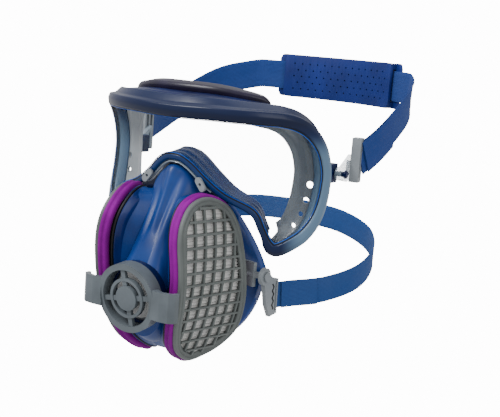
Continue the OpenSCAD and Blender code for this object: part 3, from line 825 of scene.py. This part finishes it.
LIP_RINGS = [[54, -12, -150, -3.9, 20.1, 16.1, -84, 0.62], [55, -10, -151, 1, 26, 21, -84, 0.62],
             [50, -13, -146, 3, 29, 24, -84, 0.62], [42, -20, -136, 1, 25, 21, -84, 0.6],
             [43, -20, -137, -0.6, 23.4, 19.4, -84, 0.6], [50, -14, -145, 1.2, 26.8, 22, -84, 0.62],
             [52, -13.6, -148, -3.9, 20.1, 16.1, -84, 0.62]]
lip = tube("face_lip_shell", [mask_ring(r) for r in LIP_RINGS], LIP_BLUE, "mask", looped=True, angle=80)
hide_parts("face_lip")

# ---------- valve, hooks, clips and buckles ----------
PEG = (57, 9, -86)
HOOK_FACE = PEG[0] + 8.6


def hook_slot_shade(side, name):
    """Painted shade: a black wavy strip down the face of a neck hook stands for the shaded opening which
    grips the webbing.
    """
    rings = []
    for b in np.linspace(-7, -27, 60):
        a = 10.6 - 0.06 * b + 0.8 * math.sin(b * 2 * math.pi / 5.5)
        corners = ((0, -0.8), (0.4, -0.8), (0.4, 0.8), (0, 0.8))
        rings.append([np.array([side * (HOOK_FACE + x), PEG[1] + a + w, PEG[2] + b]) for x, w in corners])
    tube(name, rings, BLACK, "neck_harness")


finish_cad("valve_housing", BROW, 0.8)
finish_cad("exhale_seat", PALE, 0.3)
finish_cad("exhale_flap", WHITE, 0.3)
finish_cad("valve_cover", HARNESS_GREY, 0.5)
for side in ("left", "right"):
    finish_cad("neck_bracket_" + side, PALE, 0.4)
    finish_cad("neck_hook_" + side, PALE, 0.5)
    hook_slot_shade(1 if side == "right" else -1, "neck_hook_slot_" + side)
    finish_cad("clip_mount_" + side, BROW, 0.5)
    finish_cad("goggle_clip_" + side, CLEAR, 0.5)
    finish_cad("head_buckle_" + side, PALE, 0.6)

# ---------- webbing ----------
WEBBING = 1.6
STRAP_COLUMNS = 12


def strap_ring(path, i, width):
    """One rounded section of the strap, edges slightly fuller than the middle."""
    last = len(path) - 1
    way = unit(path[min(i + 1, last)] - path[max(i - 1, 0)])
    out = unit(np.cross(way, [0, 0, 1]))
    up = np.cross(out, way)
    section = []
    for face in (1, -1):
        for c in range(STRAP_COLUMNS + 1):
            t = (c / STRAP_COLUMNS * 2 - 1) * face
            edge = limit((abs(t) - 0.86) / 0.14)
            swell = 0.86 + 0.14 * math.cos((abs(t) - 0.86) * 12)
            h = WEBBING / 2 * swell * math.sqrt(max(0.05, 1 - edge ** 3))
            section.append(path[i] + out * h * face + up * t * width / 2)
    return section


def strap(name, path, width, material, body):
    bm = bmesh.new()
    rings = [strap_ring(path, i, width) for i in range(len(path))]
    across = [c / STRAP_COLUMNS * width for c in range(STRAP_COLUMNS + 1)]
    across = across + [across[-1]] + across[::-1][1:] + [0]
    ring_mesh(bm, rings, uv_scale=across)
    return finish_mesh(name, bm, material, body, 50)


def set_out(path, gap):
    last = len(path) - 1
    out = []
    for i in range(len(path)):
        way = unit(path[min(i + 1, last)] - path[max(i - 1, 0)])
        out.append(path[i] + gap * unit(np.cross(way, [0, 0, 1])))
    return np.array(out)


def both_sides(half):
    return np.array(list(half[:-1]) + [p * np.array([-1, 1, 1]) for p in half[::-1]])


NECK_KNOTS = [[64, 26, -103], [71, 37, -102], [88, 60, -99.5], [99, 92, -93], [96.5, 122, -83],
              [79, 147, -73], [44, 163, -66], [0, 168, -64]]
REAR_BEND, REAR_CENTRE, HEAD_LEVEL = 150, 43, 54


def rear(a, radius=REAR_BEND, z=HEAD_LEVEL):
    a = math.radians(a)
    return [radius * math.sin(a), REAR_CENTRE + radius * math.cos(a), z]


NECK_STEPS = 12
neck_path = both_sides(open_curve(NECK_KNOTS, NECK_STEPS))
neck = strap("neck_webbing_band", neck_path, 20, NECK, "neck_harness")
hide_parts("neck_strap")
head_right = np.concatenate([
    open_curve([[102.4, 69, 1], [106, 92, 13], [107.5, 118, 28], [107, 138, 40], [102.5, 151, 48],
                rear(41, z=52.5)], 12),
    np.array([rear(a) for a in np.arange(40, 0, -1.0)])])
head_left = np.concatenate([
    np.array([rear(a) for a in np.arange(0, -24, -1.0)]),
    open_curve([rear(-25, z=53), [-84, 162, 46], [-98, 142, 34], [-104.5, 114, 20],
                [-105.5, 90, 8.5], [-102.4, 69, 1]], 12)])
head_path = np.concatenate([head_right, head_left])
head = strap("head_webbing_band", head_path, 25, STRAP, "head_harness")
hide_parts("head_strap")
TAIL_GAP = WEBBING + 0.15
for word, path, width, body, material, first, last in (
        ("head_tail_right", head_path, 25, "head_harness", STRAP, 3, 19),
        ("head_tail_left", head_path, 25, "head_harness", STRAP, len(head_path) - 20, len(head_path) - 4),
        ("neck_tail_right", neck_path, 20, "neck_harness", NECK, 6, 22),
        ("neck_tail_left", neck_path, 20, "neck_harness", NECK, len(neck_path) - 23, len(neck_path) - 7)):
    tail = strap(word + "_band", set_out(path[first:last], TAIL_GAP), width, material, body)
    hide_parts(word)

# ---------- head pad ----------
PAD_FROM, PAD_TO, PAD_HALF = -17, 33.5, 19


def pad_plate(near, far, low, high, first, last, name, corner=4.0):
    """Curved plate with rounded corners, hanging round the strap's rear curve."""
    bm = bmesh.new()
    columns = max(6, int((last - first) * 1.6))
    rings = []
    for k in range(columns + 1):
        a = first + (last - first) * k / columns
        edge = min(a - first, last - a) * math.pi / 180 * near
        pull = corner - math.sqrt(max(0, corner ** 2 - (corner - min(edge, corner)) ** 2))
        bottom, top = low + pull, high - pull
        profile = rounded([[near, bottom], [far, bottom], [far, top], [near, top]], 0.6)
        rings.append([rear(a, p[0], p[1]) for p in profile])
    ring_mesh(bm, rings)
    return finish_mesh(name, bm, PAD_BLUE, "pad", 50)


level_low, level_high = HEAD_LEVEL - PAD_HALF, HEAD_LEVEL + PAD_HALF
pad = pad_plate(145.6, 147.9, level_low, level_high, PAD_FROM + 2.4, PAD_TO - 2.4, "head_pad_plate")
holes = []
for k, a in enumerate(np.arange(PAD_FROM + 6, PAD_TO - 5, 1.45)):
    for row in (-2, -1, 0, 1, 2):
        if (row + k) % 2:
            continue
        centre = np.array(rear(a, 147, HEAD_LEVEL + row * 5.6))
        holes.append((centre, centre - np.array([0, REAR_CENTRE, centre[2]])))
cut(pad, cylinders(holes, 0.75, 8, 10))
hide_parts("head_pad")
for first, word in ((PAD_FROM, "left"), (PAD_TO - 4.4, "right")):
    bridge = pad_plate(151.4, 153.6, level_low, level_high, first, first + 4.4, "head_pad_bridge_" + word)
    post_at = PAD_FROM + 2.7 if word == "left" else PAD_TO - 4.9
    for low, part in ((-PAD_HALF + 0.3, "low"), (13.4, "high")):
        post = pad_plate(146.2, 153, HEAD_LEVEL + low, HEAD_LEVEL + low + 5.3, post_at, post_at + 2.2,
                         "head_pad_post_" + word + "_" + part, 0.5)

# ---------- studio ----------
world = bpy.data.worlds.new("studio")
bpy.context.scene.world = world
world.use_nodes = True
sky = world.node_tree.nodes["Background"]
sky.inputs["Color"].default_value = (1, 1, 1, 1)
backdrop = node(world.node_tree, "ShaderNodeLightPath")
# The backdrop looks pure white, while the light that it casts stays moderate
SKY_LIGHT, SKY_SEEN = 1.0, 14.0
level = node(world.node_tree, "ShaderNodeMapRange")
level.inputs["To Min"].default_value = SKY_LIGHT
level.inputs["To Max"].default_value = SKY_SEEN
world.node_tree.links.new(backdrop.outputs["Is Camera Ray"], level.inputs["Value"])
world.node_tree.links.new(level.outputs["Result"], sky.inputs["Strength"])


def softbox(name, place, aim, size, power):
    light = bpy.data.lights.new(name, "AREA")
    light.shape = "RECTANGLE"
    light.size, light.size_y = size
    light.energy = power
    made = bpy.data.objects.new(name, light)
    made.location = place
    made.rotation_euler = (Vector(aim) - Vector(place)).to_track_quat("-Z", "Y").to_euler()
    bpy.context.scene.collection.objects.link(made)


softbox("key", (-0.5, -0.8, 0.9), (0, 0, -0.03), (0.5, 0.5), 20)
softbox("fill", (1.1, -0.6, 0.5), (0, 0.05, -0.03), (0.8, 0.8), 6)
softbox("top", (0, 0.2, 1.2), (0, 0.05, 0), (1.0, 1.0), 8)

# Camera at the chosen viewpoint: 32 degrees to the right of the front, 10 degrees above
AZIMUTH, RISE, ROLL = math.radians(31.99), math.radians(9.98), math.radians(4.58)
back = Vector((math.sin(AZIMUTH) * math.cos(RISE), -math.cos(AZIMUTH) * math.cos(RISE), math.sin(RISE)))
across = Vector((math.cos(AZIMUTH), math.sin(AZIMUTH), 0))
upward = Vector((-math.sin(AZIMUTH) * math.sin(RISE), math.cos(AZIMUTH) * math.sin(RISE), math.cos(RISE)))
right = across * math.cos(ROLL) + upward * math.sin(ROLL)
up = upward * math.cos(ROLL) - across * math.sin(ROLL)
camera = bpy.data.objects.new("camera", bpy.data.cameras.new("camera"))
camera.data.sensor_width = 36
camera.data.lens = 68.28
camera.matrix_world = Matrix.Translation(Vector((0.4080, -0.5688, 0.0817))) @ Matrix(
    (right, up, back)).transposed().to_4x4()
bpy.context.scene.collection.objects.link(camera)
bpy.context.scene.camera = camera
